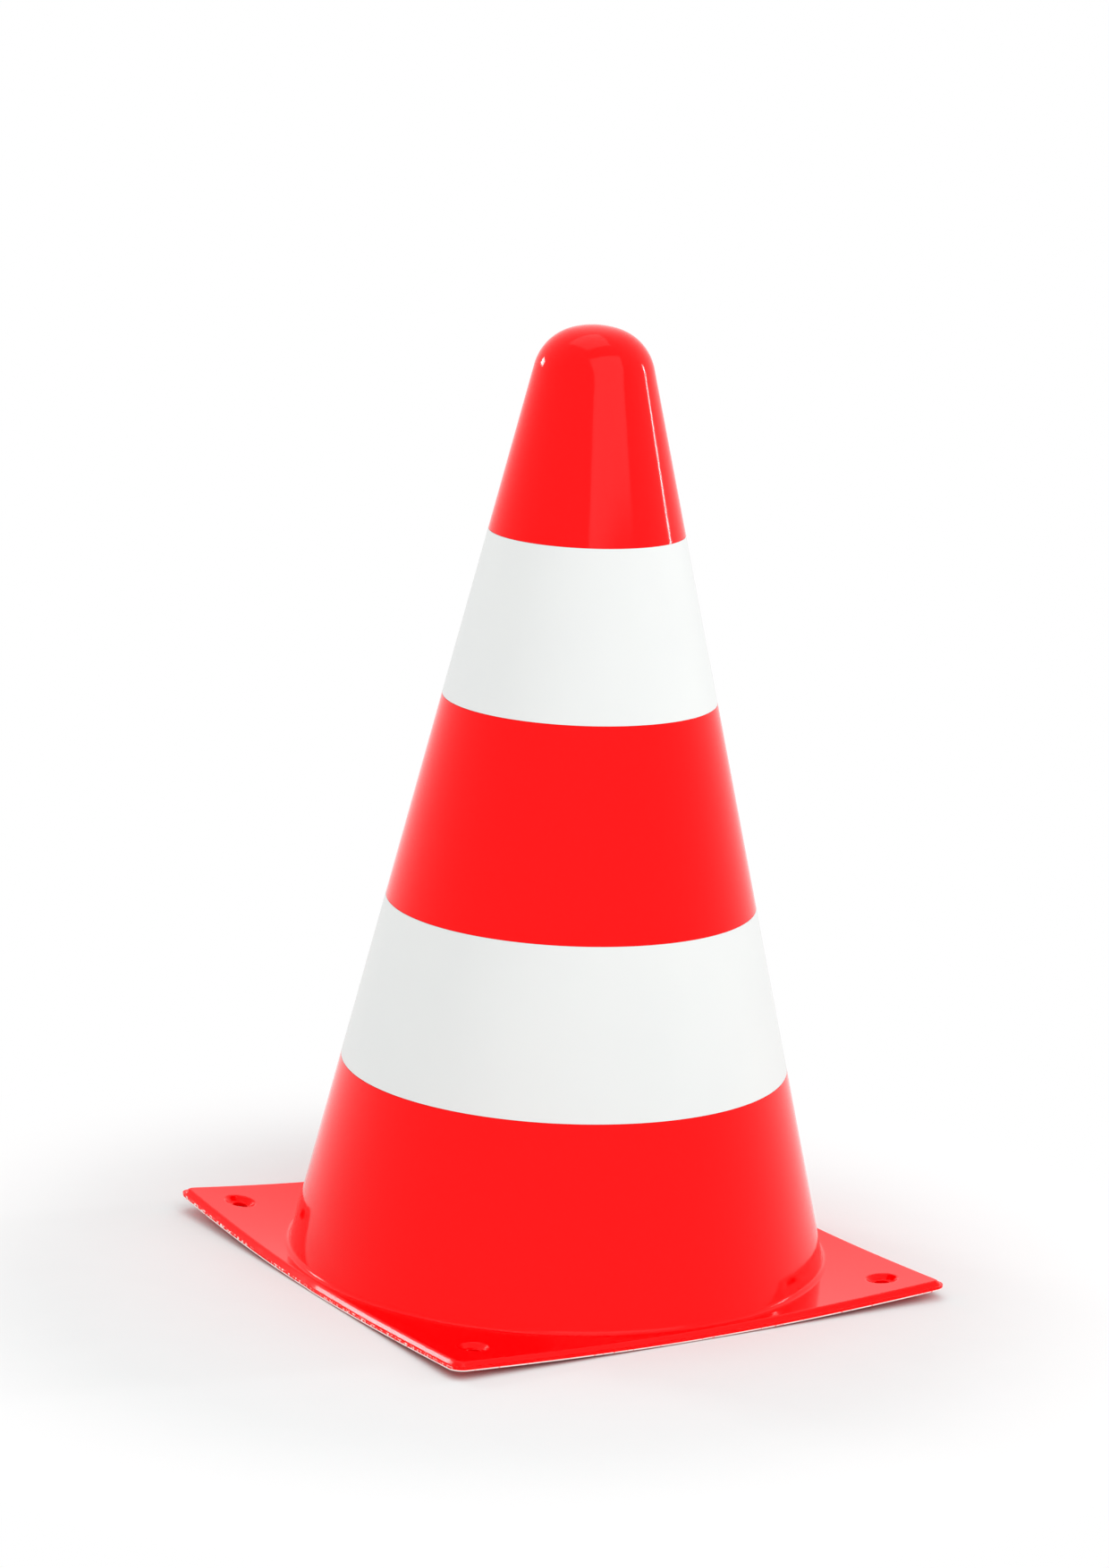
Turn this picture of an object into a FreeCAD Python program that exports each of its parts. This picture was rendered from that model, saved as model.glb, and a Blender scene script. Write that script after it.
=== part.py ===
# Traffic cone: a hollow red moulding on a square foot, with two white film bands around it.
# Sizes are in millimetres. Z is up, and the origin is the centre of the foot on the ground.
import FreeCAD, Part
import math
import os

# Moulding
overall_height = 500.0
base_side = 300.0
sheet = 2.0

# Rim of the foot: the sheet steps down from the plate to a narrow strip on the ground
plate_rise = 2.5
rim_land = 1.2
rim_slope = 2.3
rim_bend = 0.5
trim_corner_radius = 5.0
plate_corner_radius = 3.5

# Cone wall, from its foot fillet up to the rounded top
foot_fillet = 3.0
foot_flat = 0.5
tip_radius = 26.0
shoulder_radius = 27.0
crown_radius = 44.6

# Screw holes, each in a dish that is pressed down to the ground
hole_diameter = 8.0
hole_inset = 25.0
dish_floor_width = 2.0
dish_slope = 2.5
dish_lip_radius = 1.5

# White bands, cut from film and stuck in shallow seats, flush with the wall
band_film = 0.3
band_width = 90.0
lower_band_height = 104.0
band_spacing = 109.0
seat_clearance = 0.2
seam_gap = 1.0
seam_angle = 45.0

# Levels and outlines that follow from the sizes above
plate_top = plate_rise + sheet
base_half = base_side / 2
slope_angle = math.atan2(plate_rise, rim_slope)
bend_shift = sheet * math.tan(slope_angle / 2)
plate_half = base_half - rim_land - rim_slope
pocket_half = plate_half - bend_shift
corner_centre = plate_half - plate_corner_radius

# The foot fillet's arc stands clear of the rim, and the wall's line runs from the tip to touch it
fillet_axis = pocket_half - foot_flat
tip_across = fillet_axis - tip_radius
tip_down = overall_height - plate_top - foot_fillet
taper = math.atan2(tip_across, tip_down) - math.asin(foot_fillet / math.hypot(tip_across, tip_down))
foot_radius = fillet_axis - foot_fillet * (1 - math.sin(taper)) / math.cos(taper)

# How near two measures lie when they are taken for the same one, to find an edge
same = 0.01


def vec(radius, height):
    """A point of the section, in the plane through the axis and +X."""
    return FreeCAD.Vector(radius, 0, height)


def line(start, end):
    return Part.LineSegment(start, end).toShape()


def arc(centre, radius, start_angle, end_angle):
    """An arc of the section, with its angles in radians from +X towards +Z."""
    points = []
    for angle in (start_angle, (start_angle + end_angle) / 2, end_angle):
        points.append(centre + vec(radius * math.cos(angle), radius * math.sin(angle)))
    return Part.Arc(*points).toShape()


def revolve(edges):
    """The solid that a closed section sweeps about the axis, starting at the film's seam."""
    origin = FreeCAD.Vector(0, 0, 0)
    axis = FreeCAD.Vector(0, 0, 1)
    solid = Part.Face(Part.Wire(edges)).revolve(origin, axis, 360)
    solid.rotate(origin, axis, seam_angle)
    return solid


def wall_point(height, outwards=0.0):
    """A point of the wall at a height above the plate, moved square to the wall."""
    radius = foot_radius - height * math.tan(taper)
    return vec(radius + outwards * math.cos(taper), plate_top + height + outwards * math.sin(taper))


def shoulder_centre():
    """Centre of the arc that touches the wall and the crown arc from inside."""
    crown_centre = overall_height - crown_radius
    # The centre lies on the wall's line moved in by the shoulder radius
    base = wall_point(0.0, -shoulder_radius)
    along = vec(-math.sin(taper), math.cos(taper))
    offset = base - vec(0, crown_centre)
    # Its distance from the crown's centre is the difference of the two radii
    half_b = offset.dot(along)
    reach = half_b ** 2 - offset.dot(offset) + (crown_radius - shoulder_radius) ** 2
    return base + along * (math.sqrt(reach) - half_b)


def cone_body(depth, bottom):
    """The cone's filled form, with every face moved in from the outer face by depth."""
    crown = vec(0, overall_height - crown_radius)
    shoulder = shoulder_centre()
    crown_end = math.atan2(shoulder.z - crown.z, shoulder.x)
    fillet = vec(fillet_axis, plate_top + foot_fillet)
    fillet_radius = foot_fillet + depth
    fillet_start = fillet + vec(-fillet_radius * math.cos(taper), -fillet_radius * math.sin(taper))
    wall_end = shoulder + vec(math.cos(taper), math.sin(taper)) * (shoulder_radius - depth)
    fillet_end = fillet - vec(0, fillet_radius)
    top = vec(0, overall_height - depth)
    edges = [
        arc(crown, crown_radius - depth, math.pi / 2, crown_end),
        arc(shoulder, shoulder_radius - depth, crown_end, taper),
        line(wall_end, fillet_start),
        arc(fillet, fillet_radius, math.pi + taper, 1.5 * math.pi),
    ]
    if fillet_end.z > bottom + same:
        edges.append(line(fillet_end, vec(fillet_end.x, bottom)))
    edges.append(line(vec(fillet_end.x, bottom), vec(0, bottom)))
    edges.append(line(vec(0, bottom), top))
    return revolve(edges)


def rounded_square(half, radius, height):
    """A square outline with round corners, as a closed wire."""
    edges = []
    inner = half - radius
    for quarter in range(4):
        turn = FreeCAD.Rotation(FreeCAD.Vector(0, 0, 1), 90 * quarter)
        side_start = turn.multVec(FreeCAD.Vector(half, -inner, height))
        side_end = turn.multVec(FreeCAD.Vector(half, inner, height))
        middle = inner + radius * math.sqrt(0.5)
        corner_middle = turn.multVec(FreeCAD.Vector(middle, middle, height))
        corner_end = turn.multVec(FreeCAD.Vector(inner, half, height))
        edges.append(line(side_start, side_end))
        edges.append(Part.Arc(side_end, corner_middle, corner_end).toShape())
    return Part.Wire(edges)


def circle_edges(shape, radius, height):
    """The full circles of one radius at one height."""
    found = []
    for edge in shape.Edges:
        box = edge.BoundBox
        width_error = abs(box.XLength - 2 * radius)
        if max(abs(box.ZMin - height), abs(box.ZMax - height), width_error) < same:
            found.append(edge)
    return found


def loop_edges(shape, half, height):
    """The edges of a square outline at one height, found by how far they reach from the axis."""
    found = []
    for edge in shape.Edges:
        box = edge.BoundBox
        reach = max(-box.XMin, box.XMax, -box.YMin, box.YMax)
        if max(abs(box.ZMin - height), abs(box.ZMax - height), abs(reach - half)) < same:
            found.append(edge)
    return found


def plate_form():
    """The foot's outer form: a flat strip, a slope and the raised plate."""
    land_half = base_half - rim_land
    strip = Part.Face(rounded_square(base_half, trim_corner_radius, 0)).extrude(FreeCAD.Vector(0, 0, sheet))
    low = rounded_square(land_half, land_half - corner_centre, sheet)
    high = rounded_square(plate_half, plate_corner_radius, plate_top)
    form = strip.fuse(Part.makeLoft([low, high], True, True)).removeSplitter()
    form = form.makeFillet(rim_bend + sheet, loop_edges(form, plate_half, plate_top))
    return form.makeFillet(rim_bend, loop_edges(form, land_half, sheet))


def plate_pocket():
    """The space under the foot's plate, one sheet thickness inside the outer form."""
    steepness = rim_slope / plate_rise
    ground_half = pocket_half + plate_rise * steepness
    low = rounded_square(ground_half, ground_half - corner_centre, 0)
    high = rounded_square(pocket_half, pocket_half - corner_centre, plate_rise)
    form = Part.makeLoft([low, high], True, True)
    return form.makeFillet(rim_bend, loop_edges(form, pocket_half, plate_rise))


def hole_places():
    """The four screw holes' centres, one in each corner of the foot."""
    reach = base_half - hole_inset
    return [FreeCAD.Vector(x * reach, y * reach, 0) for x in (-1, 1) for y in (-1, 1)]


def dish_forms():
    """A dish about the axis: the boss that carries it from below, and the space that it opens above."""
    dish_shift = sheet * math.tan(math.atan2(plate_rise, dish_slope) / 2)
    floor_radius = hole_diameter / 2 + dish_floor_width
    mouth_radius = floor_radius + dish_slope
    up = FreeCAD.Vector(0, 0, 1)
    boss = Part.makeCone(floor_radius + dish_shift, mouth_radius + dish_shift, plate_rise)
    space = Part.makeCone(floor_radius, mouth_radius, plate_rise, up * sheet)
    space = space.makeFillet(rim_bend, circle_edges(space, floor_radius, sheet))
    hole = Part.makeCylinder(hole_diameter / 2, plate_top)
    return boss, space.fuse(hole), mouth_radius


def band_heights():
    """The heights of the two bands' lower edges above the plate."""
    band_rise = band_width * math.cos(taper)
    return lower_band_height, lower_band_height + band_rise + band_spacing


def wall_ring(height, margin, depth, outwards):
    """A ring that runs from a depth in the wall to a distance out from it, past a band by its margins."""
    along = vec(-math.sin(taper), math.cos(taper))
    inner_low = wall_point(height, -depth) - along * margin
    outer_low = wall_point(height, outwards) - along * margin
    rise = along * (band_width + 2 * margin)
    corners = [inner_low, outer_low, outer_low + rise, inner_low + rise]
    edges = []
    for index in range(4):
        edges.append(line(corners[index], corners[(index + 1) % 4]))
    return revolve(edges)


def white_band(height):
    """A film strip around the wall, its ends a narrow gap apart at the seam."""
    slot = Part.makeBox(base_half, seam_gap, overall_height, FreeCAD.Vector(0, -seam_gap / 2, 0))
    slot.rotate(FreeCAD.Vector(0, 0, 0), FreeCAD.Vector(0, 0, 1), seam_angle)
    return wall_ring(height, 0, band_film, 0).cut(slot)


def cone_shell():
    """The one-piece moulding: rounded top, cone wall, foot and screw dishes."""
    shell = plate_form().fuse(cone_body(0, sheet)).removeSplitter()
    shell = shell.cut(plate_pocket().fuse(cone_body(sheet, plate_rise)))
    boss, space, mouth_radius = dish_forms()
    for place in hole_places():
        shell = shell.fuse(boss.translated(place)).cut(space.translated(place))
    for height in band_heights():
        shell = shell.cut(wall_ring(height, seat_clearance, band_film + seat_clearance, sheet))
    shell = shell.removeSplitter()
    return shell.makeFillet(dish_lip_radius, circle_edges(shell, mouth_radius, plate_top))


def build():
    """Every piece by its name."""
    lower, upper = band_heights()
    return {
        "cone_shell": cone_shell(),
        "lower_white_band": white_band(lower),
        "upper_white_band": white_band(upper),
    }


os.makedirs("parts", exist_ok=True)
for name, shape in build().items():
    solids = shape.Solids
    print(name, "solids", len(solids), "valid", shape.isValid(), "volume", round(shape.Volume, 1))
    shape.exportStep(f"parts/{name}.step")
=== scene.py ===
import math

import bmesh
import bpy
from bpy.props import FloatProperty, FloatVectorProperty, PointerProperty
from mathutils import Matrix, Vector


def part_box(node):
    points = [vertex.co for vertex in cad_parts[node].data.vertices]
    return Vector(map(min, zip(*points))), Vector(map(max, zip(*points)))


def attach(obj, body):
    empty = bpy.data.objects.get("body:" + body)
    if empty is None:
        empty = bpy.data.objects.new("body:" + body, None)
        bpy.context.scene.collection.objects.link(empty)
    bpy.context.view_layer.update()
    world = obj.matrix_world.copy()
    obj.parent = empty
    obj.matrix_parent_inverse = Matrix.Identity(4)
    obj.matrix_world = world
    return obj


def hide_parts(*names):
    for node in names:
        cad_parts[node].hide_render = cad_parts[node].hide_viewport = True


bl_info = {
    "name": "Traffic cone",
    "version": (1, 0, 0),
    "blender": (4, 5, 0),
    "location": "3D View > Sidebar > Traffic cone",
    "description": "A moulded red traffic cone with two white film bands, and a plain studio around it",
    "category": "Add Mesh",
}

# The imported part, and its box before anything is dressed
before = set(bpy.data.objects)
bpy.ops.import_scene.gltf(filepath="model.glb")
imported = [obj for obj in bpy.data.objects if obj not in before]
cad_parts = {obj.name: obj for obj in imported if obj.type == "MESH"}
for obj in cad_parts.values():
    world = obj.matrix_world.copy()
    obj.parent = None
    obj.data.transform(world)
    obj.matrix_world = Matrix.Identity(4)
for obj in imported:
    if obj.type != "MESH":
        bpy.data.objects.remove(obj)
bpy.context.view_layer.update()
shell_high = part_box("cone_shell")[1]
lower_film_low, lower_film_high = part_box("lower_white_band")
upper_film_low, upper_film_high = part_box("upper_white_band")

FULL_TURN = 2 * math.pi
# Light from all around, where 1 is a white background
AMBIENT = 0.84
# Points nearer than this are the same point
SAME = 2e-6
# The parts that one turn is cut into, around the cone and around a dish
TURN_STEPS = 288
DISH_STEPS = 48
QUARTER_STEPS = TURN_STEPS // 4
# The parts of a corner of the foot, and of half a side, which together match a quarter of the cone
CORNER_STEPS = 8
SIDE_STEPS = (QUARTER_STEPS - CORNER_STEPS) // 2
# The cuts between the cone's foot and the rim, across the plate
FIELD_CUTS = 11
# The parts that each arc of the section is cut into
CROWN_STEPS = 16
SHOULDER_STEPS = 20
FILLET_STEPS = 10
OUTER_BEND_STEPS = 8
INNER_BEND_STEPS = 4
ROUNDING_STEPS = 3
LIP_STEPS = 6
# The plate is opened this far past a dish's ring, and open edges within the second reach are joined to it
DISH_OPENING = 0.004
DISH_JOINING = 0.009
# Faces within this many roundings of the foot's side belong to the cut edge
EDGE_REACH = 1.1
# Edges that bend more than this stay sharp
SHARP_ANGLE = math.radians(35)

# Specular level of the moulding, below plain plastic's 0.5 to keep the red deep, and of the films
RED_SPECULAR = 0.15
FILM_SPECULAR = 0.12
PLASTIC_IOR = 1.5
FILM_IOR = 1.45
# X of the foot's left side, from where its edge is chipped to where it is whole
CHIPPED_SIDE = (-0.1495, -0.1490)

# The floor: its drop below the foot, its two tones near the cone, which are painted shade darker than the
# far tone, and its tone farther out
FLOOR_DROP = 0.0001
FLOOR_SEGMENTS = 96
# The near tones are also a little blue-green, against the red light that the cone bounces onto the floor
PAINTED_SHADE_TONES = ((0.76, 0.79, 0.79, 1.0), (0.71, 0.74, 0.74, 1.0))
FAR_TONE = (0.90, 0.90, 0.90, 1.0)
# The painted shade's middle lies a little left of the cone, and the floor fades to white between two radii
# from it
SHADOW_OFFSET = (0.055, 0.03, 0.0)
FADE_START = 0.22
FADE_END = 0.42
WHITE = (1.0, 1.0, 1.0, 1.0)


def length_prop(name, default, description):
    return FloatProperty(name=name, default=default, description=description, unit="LENGTH",
                         subtype="DISTANCE")


def colour_prop(name, default, description):
    return FloatVectorProperty(name=name, default=default, description=description, size=3, subtype="COLOR",
                               min=0.0, max=1.0)


class ConeSizes(bpy.types.PropertyGroup):
    """Sizes of the moulding."""
    height: length_prop("Height", shell_high.z, "Overall height")
    base_half: length_prop("Half side", shell_high.x, "Half of the foot's side")
    sheet: length_prop("Sheet", 0.002, "Wall thickness")
    plate_rise: length_prop("Plate rise", 0.0025, "How far the plate's underside is above the ground")
    rim_land: length_prop("Rim land", 0.0012, "Width of the flat strip around the foot")
    rim_slope: length_prop("Rim slope", 0.0023, "Width of the slope from the strip to the plate")
    rim_bend: length_prop("Rim bend", 0.0005, "Inner radius of the rim's two bends")
    corner_radius: length_prop("Corner radius", 0.0035, "Corner radius of the plate")
    foot_fillet: length_prop("Foot fillet", 0.003, "Radius where the wall runs into the plate")
    foot_flat: length_prop("Foot flat", 0.0005, "Flat between the fillet and the rim under the plate")
    tip_radius: length_prop("Tip radius", 0.026, "Radius that the wall's line has at full height")
    shoulder_radius: length_prop("Shoulder radius", 0.027, "Radius between the wall and the crown")
    crown_radius: length_prop("Crown radius", 0.0446, "Radius of the rounded top")
    cut_rounding: length_prop("Cut rounding", 0.0002, "Rounding of the foot's cut edge")
    cut_height: length_prop("Cut height", 0.0007, "Height of the pale part of the cut edge")
    seat_depth: length_prop("Seat depth", 0.0005, "Depth of the seat behind a film")
    seat_clearance: length_prop("Seat clearance", 0.0002, "Gap around a film in its seat")


class DishSizes(bpy.types.PropertyGroup):
    """Sizes of the screw holes and their dishes."""
    hole_radius: length_prop("Hole radius", 0.004, "Radius of a screw hole")
    inset: length_prop("Inset", 0.025, "From the foot's sides to a hole's centre")
    floor_width: length_prop("Floor width", 0.002, "Width of the dish's flat floor")
    slope: length_prop("Slope", 0.0025, "Width of the dish's sloping side")
    lip_radius: length_prop("Lip radius", 0.0015, "Radius of the dish's upper lip")
    patch_radius: length_prop("Patch radius", 0.0102, "Radius at which the dish joins the plate's mesh")


class CurlSizes(bpy.types.PropertyGroup):
    """How far each corner of the foot curls up from the ground."""
    left: length_prop("Left", 0.0095, "Lift of the corner at -X +Y")
    front: length_prop("Front", 0.0049, "Lift of the corner at -X -Y")
    right: length_prop("Right", 0.0059, "Lift of the corner at +X -Y")
    back: length_prop("Back", 0.0043, "Lift of the corner at +X +Y")
    power: FloatProperty(name="Power", default=1.0, description="How late the plate bends towards a corner")


class FilmSizes(bpy.types.PropertyGroup):
    """Sizes of the white films."""
    thickness: length_prop("Thickness", 0.0003, "Thickness of the film")
    seam_gap: length_prop("Seam gap", 0.001, "Gap between the film's two ends")
    seam_angle: FloatProperty(name="Seam angle", default=math.radians(45), subtype="ANGLE",
                              description="Where the film's ends meet")


class Finishes(bpy.types.PropertyGroup):
    """Colours of the part."""
    red: colour_prop("Red", (1.0, 0.0003, 0.0012), "Colour of the moulding")
    red_worn: colour_prop("Worn red", (0.97, 0.0005, 0.0018), "Colour where the gloss is rubbed")
    cut: colour_prop("Cut edge", (0.93, 0.80, 0.76), "Colour of the sheet's cut edge")
    film: colour_prop("Film", (0.785, 0.80, 0.785), "Colour of the bands")
    film_aged: colour_prop("Aged film", (0.74, 0.755, 0.75), "Colour where the film has greyed")


class StudioSizes(bpy.types.PropertyGroup):
    """Camera and stage."""
    azimuth: FloatProperty(name="Azimuth", default=math.radians(-32.251), subtype="ANGLE",
                           description="Where the camera stands around the cone")
    distance: length_prop("Distance", 2.4582, "From the cone's axis to the camera, along the floor")
    camera_height: length_prop("Camera height", 0.8202, "Camera above the floor")
    pan: FloatProperty(name="Pan", default=0.0046, subtype="ANGLE",
                       description="Turn away from the cone's axis")
    pitch: FloatProperty(name="Pitch", default=0.2249, subtype="ANGLE",
                         description="How far the camera looks down")
    roll: FloatProperty(name="Roll", default=0.0427, subtype="ANGLE",
                        description="Turn about the line of sight")
    lens: FloatProperty(name="Lens", default=110.5, description="Focal length in millimetres")
    floor_radius: length_prop("Floor radius", 30.0, "Radius of the floor")


class ConeSettings(bpy.types.PropertyGroup):
    """Everything that a user would change."""
    cone: PointerProperty(type=ConeSizes, name="Cone", description="Sizes of the moulding")
    dish: PointerProperty(type=DishSizes, name="Dish", description="Sizes of the screw holes")
    curl: PointerProperty(type=CurlSizes, name="Curl", description="Lift of the foot's corners")
    film: PointerProperty(type=FilmSizes, name="Film", description="Sizes of the films")
    finish: PointerProperty(type=Finishes, name="Finish", description="Colours")
    studio: PointerProperty(type=StudioSizes, name="Studio", description="Camera and stage")


# Shader maths

class Value:
    """A shader socket that plain sums can be written with."""

    def __init__(self, shader, socket):
        self.shader = shader
        self.socket = socket

    def maths(self, operation, *others):
        sockets = dict(zip(("Value", "Value_001", "Value_002"), (self,) + others))
        return self.shader.node("Math", {"operation": operation}, **sockets)

    def __add__(self, other):
        return self.maths("ADD", other)

    __radd__ = __add__

    def __mul__(self, other):
        return self.maths("MULTIPLY", other)

    __rmul__ = __mul__

    def __sub__(self, other):
        return self.maths("SUBTRACT", other)

    def __rsub__(self, other):
        return self.shader.node("Math", {"operation": "SUBTRACT"}, Value=other, Value_001=self)

    def smooth(self, low, high):
        """0 below low, 1 above high, and a smooth rise between them."""
        return self.shader.node("MapRange", {"interpolation_type": "SMOOTHSTEP"}, out="Result", Value=self,
                                From_Min=low, From_Max=high)


class Shader:
    """A material's or the world's node tree, filled by one method."""

    def __init__(self, owner):
        owner.use_nodes = True
        self.tree = owner.node_tree
        self.tree.nodes.clear()

    def node(self, kind, settings=None, out=None, **inputs):
        """Adds a node, sets it, fills its sockets by identifier or name, and returns one output."""
        node = self.tree.nodes.new("ShaderNode" + kind)
        for key, value in (settings or {}).items():
            setattr(node, key, value)
        for key, value in inputs.items():
            socket = self.find(node.inputs, key)
            if isinstance(value, Value):
                self.tree.links.new(value.socket, socket)
            else:
                socket.default_value = value
        if not node.outputs:
            return None
        outputs = [o for o in node.outputs if o.enabled]
        return Value(self, self.find(node.outputs, out) if out else outputs[0])

    @staticmethod
    def find(sockets, key):
        """A socket by its identifier or by its name, with spaces written as underscores."""
        for socket in sockets:
            if socket.enabled and key in (socket.identifier, socket.name.replace(" ", "_")):
                return socket
        raise KeyError(key)

    def place(self, scale=None):
        """Object coordinates, drawn out along the axes by a scale."""
        place = self.node("TexCoord", out="Object")
        return self.node("Mapping", out="Vector", Vector=place, Scale=scale) if scale else place

    def length(self, vector):
        return self.node("VectorMath", {"operation": "LENGTH"}, out="Value", Vector=vector)

    def noise(self, scale, detail=3.0, roughness=0.5, vector=None):
        """Soft noise from 0 to 1, on object coordinates unless it is given others."""
        return self.node("TexNoise", out="Fac", Vector=vector or self.place(), Scale=scale, Detail=detail,
                         Roughness=roughness)

    def mix(self, factor, low, high):
        """A colour between two colours."""
        return self.node("Mix", {"data_type": "RGBA"}, out="Result_Color", Factor_Float=factor, A_Color=low,
                         B_Color=high)


def colour(value):
    """A colour property as the four numbers that a socket takes."""
    return (value[0], value[1], value[2], 1.0)


def red_plastic(shader, finish):
    """Glossy moulded plastic with faint flow marks and fine rubbing, paler where it is rubbed."""
    flow = shader.noise(scale=9.0, detail=2.0, roughness=0.4)
    grain = shader.noise(scale=900.0, detail=2.0)
    scratches = shader.noise(scale=60.0, detail=5.0, roughness=0.65, vector=shader.place((1.0, 1.0, 6.0)))
    rubbed = scratches.smooth(low=0.60, high=0.72)
    pale_by_rubbing, pale_by_flow = 0.35, 0.2
    worn = rubbed * pale_by_rubbing + flow * pale_by_flow
    polished, rough_by_flow, rough_by_rubbing = 0.07, 0.04, 0.06
    roughness = polished + flow * rough_by_flow + rubbed * rough_by_rubbing
    flow_height, grain_height = 0.5, 0.02
    relief = flow * flow_height + grain * grain_height
    bump = shader.node("Bump", out="Normal", Strength=0.12, Distance=0.0006, Height=relief)
    tone = shader.mix(worn, colour(finish.red), colour(finish.red_worn))
    return shader.node("BsdfPrincipled", Base_Color=tone, Roughness=roughness, Normal=bump, IOR=PLASTIC_IOR,
                       Specular_IOR_Level=RED_SPECULAR)


def torn_plastic(shader, finish, red_from):
    """Paler, rough plastic where the sheet was cut, with red left where the noise is above a level."""
    torn = shader.noise(scale=260.0, detail=4.0, roughness=0.7)
    blur = 0.12
    tone = shader.mix(torn.smooth(red_from, red_from + blur), colour(finish.cut), colour(finish.red))
    smoothest, rough_by_tearing = 0.5, 0.3
    bump = shader.node("Bump", out="Normal", Strength=0.5, Distance=0.0004, Height=torn)
    return shader.node("BsdfPrincipled", Base_Color=tone, Roughness=smoothest + torn * rough_by_tearing,
                       Normal=bump, IOR=PLASTIC_IOR)


def red_material(name, finish):
    """The moulding's faces."""
    material = bpy.data.materials.new(name)
    shader = Shader(material)
    shader.node("OutputMaterial", Surface=red_plastic(shader, finish))
    return material


def cut_material(name, finish):
    """The sheet's cut edge, pale with a little red left."""
    material = bpy.data.materials.new(name)
    shader = Shader(material)
    shader.node("OutputMaterial", Surface=torn_plastic(shader, finish, red_from=0.56))
    return material


def chipped_material(name, finish):
    """The foot's edge above the cut: the moulding's red, chipped here and there along the left side."""
    material = bpy.data.materials.new(name)
    shader = Shader(material)
    split = shader.node("SeparateXYZ", out="X", Vector=shader.place()).socket.node
    side = 1 - Value(shader, split.outputs["X"]).smooth(*CHIPPED_SIDE)
    place = shader.noise(scale=14.0, detail=2.0).smooth(low=0.46, high=0.56) * side
    chips = shader.noise(scale=420.0, detail=3.0, roughness=0.7).smooth(low=0.52, high=0.58) * place
    surface = shader.node("MixShader", Fac=chips, Shader=red_plastic(shader, finish),
                          Shader_001=torn_plastic(shader, finish, red_from=0.8))
    shader.node("OutputMaterial", Surface=surface)
    return material


def film_material(name, finish):
    """Satin white film with a fine grain and faint greying."""
    material = bpy.data.materials.new(name)
    shader = Shader(material)
    cloud = shader.noise(scale=14.0, detail=3.0)
    grain = shader.noise(scale=1500.0, detail=2.0)
    tone = shader.mix(cloud, colour(finish.film), colour(finish.film_aged))
    satin, rough_by_ageing = 0.42, 0.1
    bump = shader.node("Bump", out="Normal", Strength=0.15, Distance=0.0001, Height=grain)
    surface = shader.node("BsdfPrincipled", Base_Color=tone, Roughness=satin + cloud * rough_by_ageing,
                          Normal=bump, IOR=FILM_IOR, Specular_IOR_Level=FILM_SPECULAR)
    shader.node("OutputMaterial", Surface=surface)
    return material


# Mesh building

class Chain:
    """A chain of edges in the plane through the axis and +X, grown from its last point."""

    def __init__(self, mesh, radius, height):
        self.mesh = mesh
        self.tip = mesh.verts.new((radius, 0.0, height))
        self.edges = []

    def grow(self):
        grown = bmesh.ops.extrude_vert_indiv(self.mesh, verts=[self.tip])
        self.tip = grown["verts"][0]
        self.edges += grown["edges"]

    def run(self, radius, height):
        """A straight run to a point."""
        self.grow()
        bmesh.ops.translate(self.mesh, verts=[self.tip], vec=Vector((radius, 0.0, height)) - self.tip.co)

    def turn(self, centre, angle, steps):
        """An arc about a centre, anticlockwise from +X towards +Z for a positive angle."""
        middle = Vector((centre[0], 0.0, centre[1]))
        step = Matrix.Rotation(-angle / steps, 3, "Y")
        for _ in range(steps):
            self.grow()
            bmesh.ops.rotate(self.mesh, verts=[self.tip], cent=middle, matrix=step)


def ends_of(edges):
    """The ends of some edges, each once, in the order of the edges."""
    return list(dict.fromkeys(vert for edge in edges for vert in edge.verts))


def sweep(mesh, edges, steps, **motion):
    """Sweeps edges by a turn about Z or by a straight step, and returns the last row."""
    settings = {"cent": (0, 0, 0), "axis": (0, 0, 1), "angle": 0.0, **motion}
    swept = bmesh.ops.spin(mesh, geom=ends_of(edges) + list(edges), steps=steps, **settings)
    return [item for item in swept["geom_last"] if isinstance(item, bmesh.types.BMEdge)]


def full_turn(mesh, edges, steps, centre=(0, 0, 0)):
    """Sweeps edges all the way around an axis and closes the seam."""
    bmesh.ops.spin(mesh, geom=ends_of(edges) + list(edges), cent=centre, axis=(0, 0, 1), angle=FULL_TURN,
                   steps=steps, use_merge=True)


def weld(mesh):
    bmesh.ops.remove_doubles(mesh, verts=mesh.verts, dist=SAME)


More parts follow.
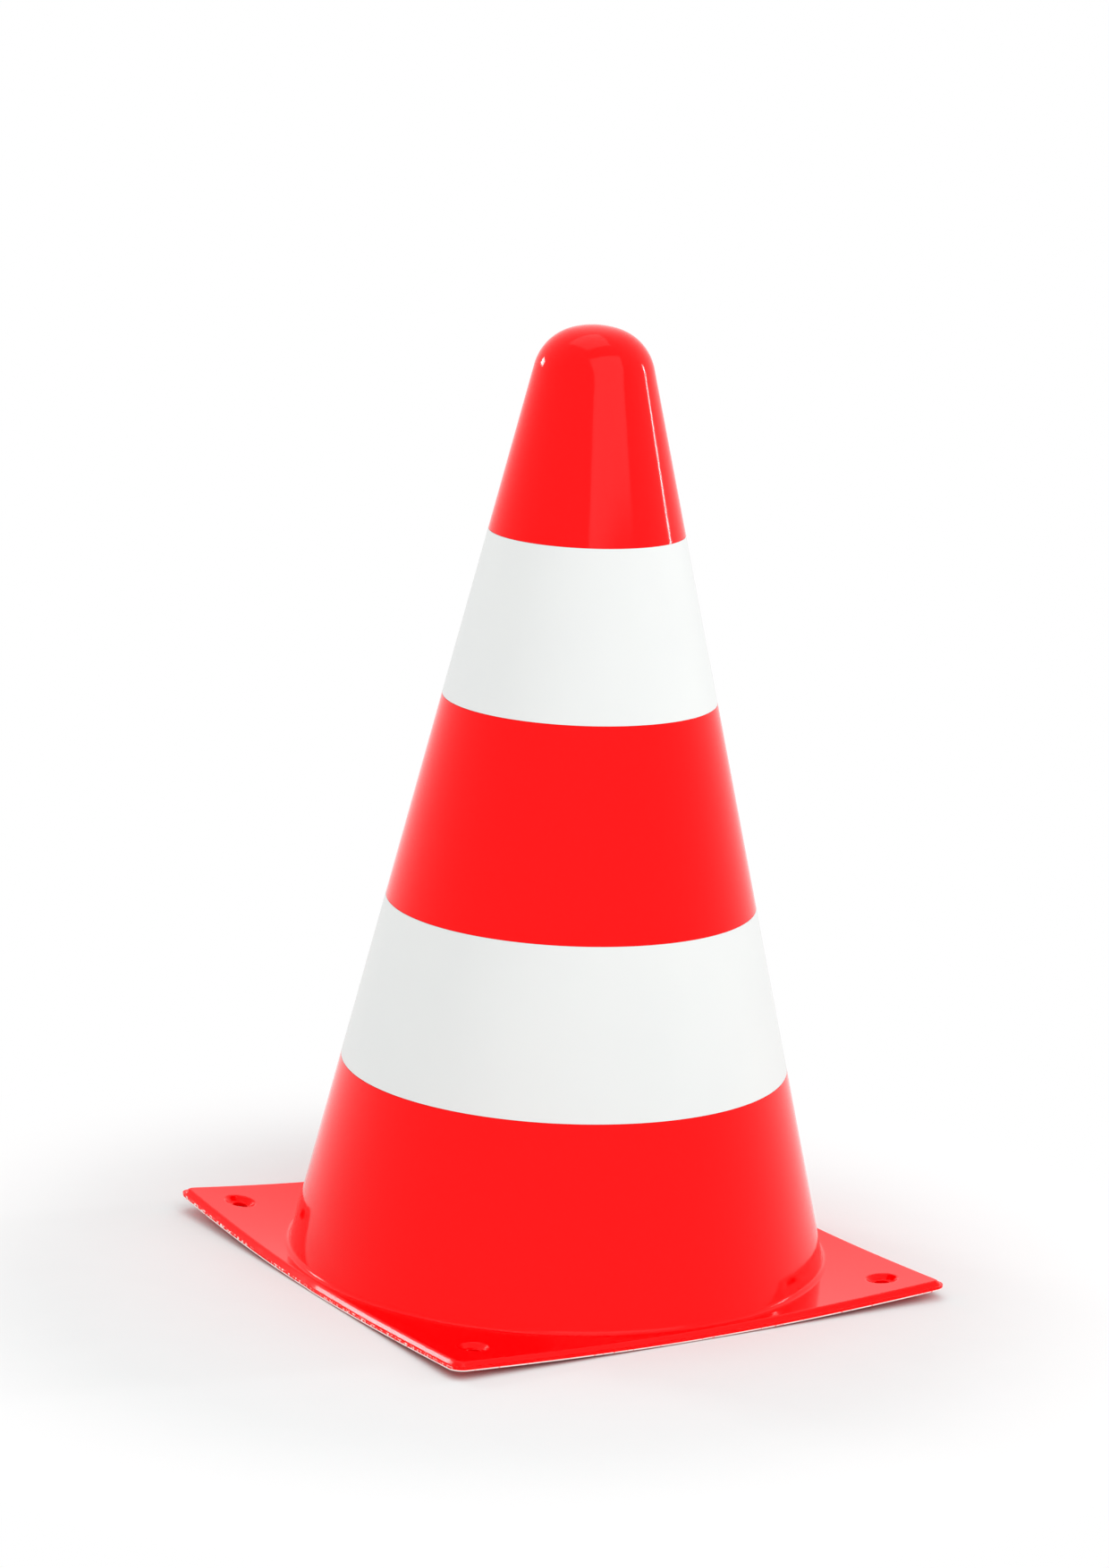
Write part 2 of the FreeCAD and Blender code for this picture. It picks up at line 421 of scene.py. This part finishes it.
class ConeForm:
    """Places on the cone's section that follow from its sizes."""

    def __init__(self, sizes):
        self.sizes = sizes
        self.plate_top = sizes.plate_rise + sizes.sheet
        self.slope_angle = math.atan2(sizes.plate_rise, sizes.rim_slope)
        bend_shift = sizes.sheet * math.tan(self.slope_angle / 2)
        self.plate_half = sizes.base_half - sizes.rim_land - sizes.rim_slope
        self.pocket_half = self.plate_half - bend_shift
        self.corner_centre = self.plate_half - sizes.corner_radius
        self.bend_reach = sizes.rim_bend * math.tan(self.slope_angle / 2)
        self.field_half = self.pocket_half - self.bend_reach
        self.fillet_axis = self.pocket_half - sizes.foot_flat
        across = self.fillet_axis - sizes.tip_radius
        down = sizes.height - self.plate_top - sizes.foot_fillet
        self.taper = math.atan2(across, down) - math.asin(sizes.foot_fillet / math.hypot(across, down))
        fillet_reach = sizes.foot_fillet * (1 - math.sin(self.taper)) / math.cos(self.taper)
        self.foot_radius = self.fillet_axis - fillet_reach

    def wall(self, level, inwards=0.0):
        """Radius and height of the wall at a level above the ground, moved square into the wall."""
        radius = self.foot_radius - (level - self.plate_top) * math.tan(self.taper)
        return (radius - inwards * math.cos(self.taper), level - inwards * math.sin(self.taper))

    def shoulder(self):
        """Centre of the arc that touches the wall and the crown from inside."""
        sizes = self.sizes
        crown = sizes.height - sizes.crown_radius
        base_radius, base_level = self.wall(self.plate_top, sizes.shoulder_radius)
        along = Vector((-math.sin(self.taper), math.cos(self.taper)))
        offset = Vector((base_radius, base_level - crown))
        half_b = offset.dot(along)
        reach = half_b ** 2 - offset.dot(offset) + (sizes.crown_radius - sizes.shoulder_radius) ** 2
        step = math.sqrt(reach) - half_b
        return (base_radius + along.x * step, base_level + along.y * step)


def wall_chain(mesh, form, depth, seats):
    """The section from the pole to the plate, one depth inside the outer face."""
    sizes = form.sizes
    crown = (0.0, sizes.height - sizes.crown_radius)
    shoulder = form.shoulder()
    crown_end = math.atan2(shoulder[1] - crown[1], shoulder[0])
    chain = Chain(mesh, 0.0, sizes.height - depth)
    chain.turn(crown, crown_end - math.pi / 2, CROWN_STEPS)
    chain.turn(shoulder, form.taper - crown_end, SHOULDER_STEPS)
    for low, high in seats:
        along = (sizes.seat_clearance * math.sin(form.taper), sizes.seat_clearance * math.cos(form.taper))
        top = (high[0] - along[0], high[1] + along[1])
        bottom = (low[0] + along[0], low[1] - along[1])
        sink = (sizes.seat_depth * math.cos(form.taper), sizes.seat_depth * math.sin(form.taper))
        chain.run(*top)
        chain.run(top[0] - sink[0], top[1] - sink[1])
        chain.run(bottom[0] - sink[0], bottom[1] - sink[1])
        chain.run(*bottom)
    fillet = (form.fillet_axis, form.plate_top + sizes.foot_fillet)
    radius = sizes.foot_fillet + depth
    chain.run(fillet[0] - radius * math.cos(form.taper), fillet[1] - radius * math.sin(form.taper))
    chain.turn(fillet, math.pi / 2 - form.taper, FILLET_STEPS)
    return chain.edges


def film_seats(form, film):
    """The lower and upper end of each film's outer face, the upper film first."""
    seats = []
    for low, high in ((upper_film_low, upper_film_high), (lower_film_low, lower_film_high)):
        bottom = low.z + film.thickness * math.sin(form.taper)
        seats.append((form.wall(bottom), form.wall(high.z)))
    return seats


def rim_chain(mesh, form):
    """The rim's section at the middle of a side, from the plate's top around to its underside."""
    sizes = form.sizes
    rounding = sizes.cut_rounding
    bend = sizes.rim_bend
    land_start = sizes.base_half - sizes.rim_land + form.bend_reach
    chain = Chain(mesh, form.field_half, form.plate_top)
    chain.turn((form.field_half, form.plate_top - bend - sizes.sheet), -form.slope_angle, OUTER_BEND_STEPS)
    slope_normal = math.pi / 2 - form.slope_angle
    foot = (land_start, sizes.sheet + bend)
    chain.run(foot[0] - bend * math.cos(slope_normal), foot[1] - bend * math.sin(slope_normal))
    chain.turn(foot, form.slope_angle, INNER_BEND_STEPS)
    chain.run(sizes.base_half - rounding, sizes.sheet)
    chain.turn((sizes.base_half - rounding, sizes.sheet - rounding), -math.pi / 2, ROUNDING_STEPS)
    chain.run(sizes.base_half, sizes.cut_height)
    chain.run(sizes.base_half, rounding)
    chain.turn((sizes.base_half - rounding, rounding), -math.pi / 2, ROUNDING_STEPS)
    chain.run(form.pocket_half + sizes.rim_slope, 0.0)
    inner = (form.field_half, sizes.plate_rise - bend)
    chain.run(inner[0] + bend * math.cos(slope_normal), inner[1] + bend * math.sin(slope_normal))
    chain.turn(inner, form.slope_angle, INNER_BEND_STEPS)
    return chain.edges


def level_edges(mesh, height, test):
    """The open edges at one height that pass a test on both ends."""
    found = []
    for edge in mesh.edges:
        flat = all(abs(vert.co.z - height) < SAME and test(vert.co) for vert in edge.verts)
        if flat and len(edge.link_faces) < 2:
            found.append(edge)
    return found


def dish_ring(mesh, form, dish, centre):
    """A dish pressed down to the ground around a screw hole, as one closed ring of sheet."""
    sizes = form.sizes
    angle = math.atan2(sizes.plate_rise, dish.slope)
    shift = sizes.sheet * math.tan(angle / 2)
    lip_reach = dish.lip_radius * math.tan(angle / 2)
    bend_reach = sizes.rim_bend * math.tan(angle / 2)
    floor_radius = dish.hole_radius + dish.floor_width
    mouth_radius = floor_radius + dish.slope
    rounding = sizes.cut_rounding
    chain = Chain(mesh, dish.patch_radius, form.plate_top)
    chain.run(mouth_radius + lip_reach, form.plate_top)
    chain.turn((mouth_radius + lip_reach, form.plate_top - dish.lip_radius), angle, LIP_STEPS)
    foot = (floor_radius - bend_reach, sizes.sheet + sizes.rim_bend)
    chain.run(foot[0] + sizes.rim_bend * math.sin(angle), foot[1] - sizes.rim_bend * math.cos(angle))
    chain.turn(foot, -angle, INNER_BEND_STEPS)
    chain.run(dish.hole_radius + rounding, sizes.sheet)
    chain.turn((dish.hole_radius + rounding, sizes.sheet - rounding), math.pi / 2, ROUNDING_STEPS)
    chain.run(dish.hole_radius, 0.0)
    chain.run(floor_radius + shift, 0.0)
    chain.run(mouth_radius + shift, sizes.plate_rise)
    chain.run(dish.patch_radius, sizes.plate_rise)
    bmesh.ops.translate(mesh, verts=ends_of(chain.edges), vec=centre)
    full_turn(mesh, chain.edges, DISH_STEPS, centre)


def foot_field(mesh, form, dish, centre):
    """The plate's top between the cone's foot and the rim, open where the dish comes."""
    top = form.plate_top
    rim = level_edges(mesh, top, lambda co: True)
    circle = Chain(mesh, form.fillet_axis, top)
    for _ in range(QUARTER_STEPS):
        circle.grow()
        bmesh.ops.rotate(mesh, verts=[circle.tip], cent=(0, 0, 0),
                         matrix=Matrix.Rotation(math.pi / 2 / QUARTER_STEPS, 3, "Z"))
    bridged = bmesh.ops.bridge_loops(mesh, edges=rim + circle.edges)
    ends = set(rim) | set(circle.edges)
    across = [e for e in dict.fromkeys(e for face in bridged["faces"] for e in face.edges) if e not in ends]
    bmesh.ops.subdivide_edges(mesh, edges=across, cuts=FIELD_CUTS, use_grid_fill=True)
    flat = [f for f in mesh.faces if all(abs(v.co.z - top) < SAME for v in f.verts)]
    opening = dish.patch_radius + DISH_OPENING
    near = [f for f in flat if (f.calc_center_median().xy - centre.xy).length < opening]
    bmesh.ops.delete(mesh, geom=near, context="FACES")
    field = [f for f in flat if f.is_valid]
    copy = bmesh.ops.duplicate(mesh, geom=field)
    lowered = [item for item in copy["geom"] if isinstance(item, bmesh.types.BMVert)]
    turned = [item for item in copy["geom"] if isinstance(item, bmesh.types.BMFace)]
    bmesh.ops.translate(mesh, verts=lowered, vec=(0, 0, -form.sizes.sheet))
    bmesh.ops.reverse_faces(mesh, faces=turned)


def foot_quarter(mesh, form, dish):
    """A quarter of the foot around its +X +Y corner."""
    middle = form.corner_centre
    row = rim_chain(mesh, form)
    row = sweep(mesh, row, SIDE_STEPS, dvec=(0, middle / SIDE_STEPS, 0))
    row = sweep(mesh, row, CORNER_STEPS, cent=(middle, middle, 0), angle=math.pi / 2)
    sweep(mesh, row, SIDE_STEPS, dvec=(-middle / SIDE_STEPS, 0, 0))
    reach = form.sizes.base_half - dish.inset
    centre = Vector((reach, reach, 0))
    foot_field(mesh, form, dish, centre)
    weld(mesh)
    dish_ring(mesh, form, dish, centre)
    joining = dish.patch_radius + DISH_JOINING
    for height in (form.plate_top, form.sizes.plate_rise):
        near = level_edges(mesh, height, lambda co: (co.xy - centre.xy).length < joining)
        bmesh.ops.triangle_fill(mesh, edges=near, use_beauty=True, normal=(0, 0, 1))


def paint_edge(mesh, form):
    """Gives the foot's cut edge the second material, and the edge above it the third."""
    sizes = form.sizes
    side = sizes.base_half - sizes.cut_rounding * EDGE_REACH
    for face in mesh.faces:
        middle = face.calc_center_median()
        low = min(vert.co.z for vert in face.verts)
        high = max(vert.co.z for vert in face.verts)
        across = max(abs(middle.x) - form.corner_centre, 0.0)
        along = max(abs(middle.y) - form.corner_centre, 0.0)
        if math.hypot(across, along) + form.corner_centre < side or high < SAME:
            continue
        if high < sizes.cut_height + SAME:
            face.material_index = 1
        elif low > sizes.cut_height - SAME and low < sizes.sheet - SAME:
            face.material_index = 2


def curl_corners(mesh, form, curl):
    """Lifts the foot's corners, from nothing at the cone's foot to the full lift at each corner."""
    reach = form.sizes.base_half * math.sqrt(2) - form.fillet_axis
    for vert in mesh.verts:
        out = max(0.0, vert.co.xy.length - form.fillet_axis) / reach
        if vert.co.x < 0:
            lift = curl.left if vert.co.y > 0 else curl.front
        else:
            lift = curl.back if vert.co.y > 0 else curl.right
        vert.co.z += lift * out ** curl.power


def finish_object(mesh, name, materials):
    """Makes the mesh an object at the origin, with its faces outwards and its bends smooth."""
    weld(mesh)
    bmesh.ops.recalc_face_normals(mesh, faces=mesh.faces)
    for face in mesh.faces:
        face.smooth = True
    data = bpy.data.meshes.new(name)
    mesh.to_mesh(data)
    mesh.free()
    data.set_sharp_from_angle(angle=SHARP_ANGLE)
    piece = bpy.data.objects.new(name, data)
    bpy.context.scene.collection.objects.link(piece)
    for material in materials:
        data.materials.append(material)
    modifier = piece.modifiers.new("Even shading", "WEIGHTED_NORMAL")
    modifier.keep_sharp = True
    return piece


def refuse_open_edges(piece):
    """Stops the script if an edge of a piece doesn't join two faces."""
    mesh = bmesh.new()
    mesh.from_mesh(piece.data)
    count = sum(1 for edge in mesh.edges if len(edge.link_faces) != 2)
    mesh.free()
    if count:
        raise RuntimeError(f"{piece.name} has {count} open edges")


class MakeShell(bpy.types.Operator):
    """Makes the one-piece red moulding."""
    bl_idname = "traffic_cone.shell"
    bl_label = "Cone shell"

    def execute(self, context):
        settings = context.scene.traffic_cone
        form = ConeForm(settings.cone)
        mesh = bmesh.new()
        foot_quarter(mesh, form, settings.dish)
        # The other three quarters are turned copies of the first
        everything = mesh.verts[:] + mesh.edges[:] + mesh.faces[:]
        bmesh.ops.spin(mesh, geom=everything, cent=(0, 0, 0), axis=(0, 0, 1), angle=1.5 * math.pi, steps=3,
                       use_duplicate=True)
        for depth, seats in ((0.0, film_seats(form, settings.film)), (settings.cone.sheet, [])):
            chain = wall_chain(mesh, form, depth, seats)
            full_turn(mesh, chain, TURN_STEPS)
        weld(mesh)
        paint_edge(mesh, form)
        curl_corners(mesh, form, settings.curl)
        finish = settings.finish
        materials = [red_material("red_moulding", finish), cut_material("cut_edge", finish),
                     chipped_material("chipped_edge", finish)]
        piece = finish_object(mesh, "red_cone_shell", materials)
        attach(piece, "root")
        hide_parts("cone_shell")
        refuse_open_edges(piece)
        return {"FINISHED"}


class MakeFilms(bpy.types.Operator):
    """Makes the two white film bands."""
    bl_idname = "traffic_cone.films"
    bl_label = "White films"

    def execute(self, context):
        settings = context.scene.traffic_cone
        form = ConeForm(settings.cone)
        film = settings.film
        material = film_material("white_film", settings.finish)
        seats = film_seats(form, film)
        for (low, high), name in zip(seats, ("upper_white_band", "lower_white_band")):
            mesh = bmesh.new()
            inwards = (film.thickness * math.cos(form.taper), film.thickness * math.sin(form.taper))
            chain = Chain(mesh, *high)
            chain.run(*low)
            chain.run(low[0] - inwards[0], low[1] - inwards[1])
            chain.run(high[0] - inwards[0], high[1] - inwards[1])
            chain.run(*high)
            weld(mesh)
            gap = film.seam_gap / (low[0] + high[0]) * 2
            section = mesh.edges[:]
            mesh.verts.ensure_lookup_table()
            bmesh.ops.rotate(mesh, verts=mesh.verts, cent=(0, 0, 0),
                             matrix=Matrix.Rotation(film.seam_angle + gap / 2, 3, "Z"))
            sweep(mesh, section, TURN_STEPS, angle=FULL_TURN - gap)
            bmesh.ops.holes_fill(mesh, edges=mesh.edges, sides=4)
            piece = finish_object(mesh, "film_" + name, [material])
            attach(piece, "root")
            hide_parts(name)
            refuse_open_edges(piece)
        return {"FINISHED"}


def soft_light(name, place, aim, size, power):
    """A white area lamp that faces a height on the cone's axis, and that the camera doesn't see."""
    lamp = bpy.data.lights.new(name, "AREA")
    lamp.shape = "RECTANGLE"
    lamp.size = size[0]
    lamp.size_y = size[1]
    lamp.energy = power
    holder = bpy.data.objects.new(name, lamp)
    holder.location = place
    holder.rotation_euler = (Vector((0, 0, aim)) - place).to_track_quat("-Z", "Y").to_euler()
    holder.visible_camera = False
    bpy.context.scene.collection.objects.link(holder)


def stage_object(name, mesh, material):
    """A piece of the stage, which isn't part of the object."""
    data = bpy.data.meshes.new(name)
    mesh.to_mesh(data)
    mesh.free()
    data.materials.append(material)
    piece = bpy.data.objects.new(name, data)
    bpy.context.scene.collection.objects.link(piece)


def around(azimuth, distance, height):
    """A place around the cone, at an angle in degrees from the camera's side towards the right."""
    angle = bpy.context.scene.traffic_cone.studio.azimuth + math.radians(azimuth) - math.pi / 2
    return Vector((distance * math.cos(angle), distance * math.sin(angle), height))


def backdrop_rays(shader):
    """1 for rays that see the background, also in a mirror or glass, and 0 for light on the object."""
    path = shader.node("LightPath", out="Is Camera Ray").socket.node
    seen = Value(shader, path.outputs["Is Camera Ray"])
    seen = seen.maths("MAXIMUM", Value(shader, path.outputs["Is Glossy Ray"]))
    return seen.maths("MAXIMUM", Value(shader, path.outputs["Is Transmission Ray"]))


def floor_material(name):
    """A pale floor that takes the cone's shadow, is painted darker around the cone as shade, and is plain
    white farther out.
    """
    material = bpy.data.materials.new(name)
    shader = Shader(material)
    offset = shader.node("VectorMath", {"operation": "ADD"}, out="Vector", Vector=shader.place(),
                         Vector_001=SHADOW_OFFSET)
    # Painted shade: near the cone the floor's tone is darker and a little blue-green, and it fades out to
    # the far tone
    far = shader.length(offset).smooth(FADE_START, FADE_END)
    speckle_share = 0.3
    speckle = shader.noise(scale=40.0, detail=3.0) * speckle_share
    tone = shader.mix(far, shader.mix(speckle, *PAINTED_SHADE_TONES), FAR_TONE)
    matt = shader.node("BsdfDiffuse", Color=tone)
    plain = shader.node("Emission", Color=WHITE, Strength=1.0)
    surface = shader.node("MixShader", Fac=far * backdrop_rays(shader), Shader=matt, Shader_001=plain)
    shader.node("OutputMaterial", Surface=surface)
    return material


def build_world():
    """Plain ambient light, and a white background."""
    world = bpy.data.worlds.new("Studio")
    bpy.context.scene.world = world
    shader = Shader(world)
    ambient = shader.node("Background", Color=WHITE, Strength=AMBIENT)
    white = shader.node("Background", Color=WHITE, Strength=1.0)
    surface = shader.node("MixShader", Fac=backdrop_rays(shader), Shader=ambient, Shader_001=white)
    shader.node("OutputWorld", Surface=surface)


class MakeStage(bpy.types.Operator):
    """Makes the floor, the lamps, the background and the camera."""
    bl_idname = "traffic_cone.stage"
    bl_label = "Stage"

    def execute(self, context):
        scene = context.scene
        studio = scene.traffic_cone.studio
        build_world()
        mesh = bmesh.new()
        bmesh.ops.create_circle(mesh, cap_ends=True, cap_tris=False, segments=FLOOR_SEGMENTS,
                                radius=studio.floor_radius)
        bmesh.ops.translate(mesh, verts=mesh.verts, vec=(0, 0, -FLOOR_DROP))
        stage_object("floor", mesh, floor_material("floor_white"))
        # A large lamp right of the camera, and one above the cone
        soft_light("key_light", around(azimuth=30, distance=1.52, height=1.59), aim=0.45, size=(2.0, 1.6),
                   power=15.0)
        soft_light("top_light", around(azimuth=-150, distance=0.4, height=2.3), aim=0.4, size=(1.3, 1.3),
                   power=6.0)
        # Two small lamps for the narrow light line on the right and the highlight on the left
        soft_light("right_strip", around(azimuth=113, distance=2.02, height=0.80), aim=0.45,
                   size=(0.08, 0.6), power=5.0)
        soft_light("left_lamp", around(azimuth=-124, distance=2.0, height=0.89), aim=0.45,
                   size=(0.40, 0.25), power=6.0)

        lens = bpy.data.cameras.new("Camera")
        camera = bpy.data.objects.new("Camera", lens)
        scene.collection.objects.link(camera)
        lens.lens = studio.lens
        lens.clip_end = 100.0
        camera.location = around(0, studio.distance, studio.camera_height)
        heading = Matrix.Rotation(studio.azimuth + studio.pan, 3, "Z")
        pitch = Matrix.Rotation(math.pi / 2 - studio.pitch, 3, "X")
        roll = Matrix.Rotation(studio.roll, 3, "Z")
        camera.rotation_euler = (heading @ pitch @ roll).to_euler()
        scene.camera = camera
        scene.view_settings.view_transform = "Standard"
        return {"FINISHED"}


class ConePanel(bpy.types.Panel):
    """The buttons that make the part and its stage."""
    bl_idname = "VIEW3D_PT_traffic_cone"
    bl_label = "Traffic cone"
    bl_space_type = "VIEW_3D"
    bl_region_type = "UI"
    bl_category = "Traffic cone"

    def draw(self, context):
        column = self.layout.column()
        for maker in MAKERS:
            column.operator(maker.bl_idname)


MAKERS = (MakeShell, MakeFilms, MakeStage)
SETTINGS = (ConeSizes, DishSizes, CurlSizes, FilmSizes, Finishes, StudioSizes, ConeSettings)
CLASSES = SETTINGS + MAKERS + (ConePanel,)


def register():
    for item in CLASSES:
        bpy.utils.register_class(item)
    bpy.types.Scene.traffic_cone = PointerProperty(type=ConeSettings)


def unregister():
    del bpy.types.Scene.traffic_cone
    for item in reversed(CLASSES):
        bpy.utils.unregister_class(item)


def plain(box):
    """A box as plain lists of numbers."""
    return [[float(number) for number in corner] for corner in box]


def main():
    register()
    bpy.ops.traffic_cone.shell()
    bpy.ops.traffic_cone.films()
    bpy.ops.traffic_cone.stage()


if __name__ == "__main__":
    main()
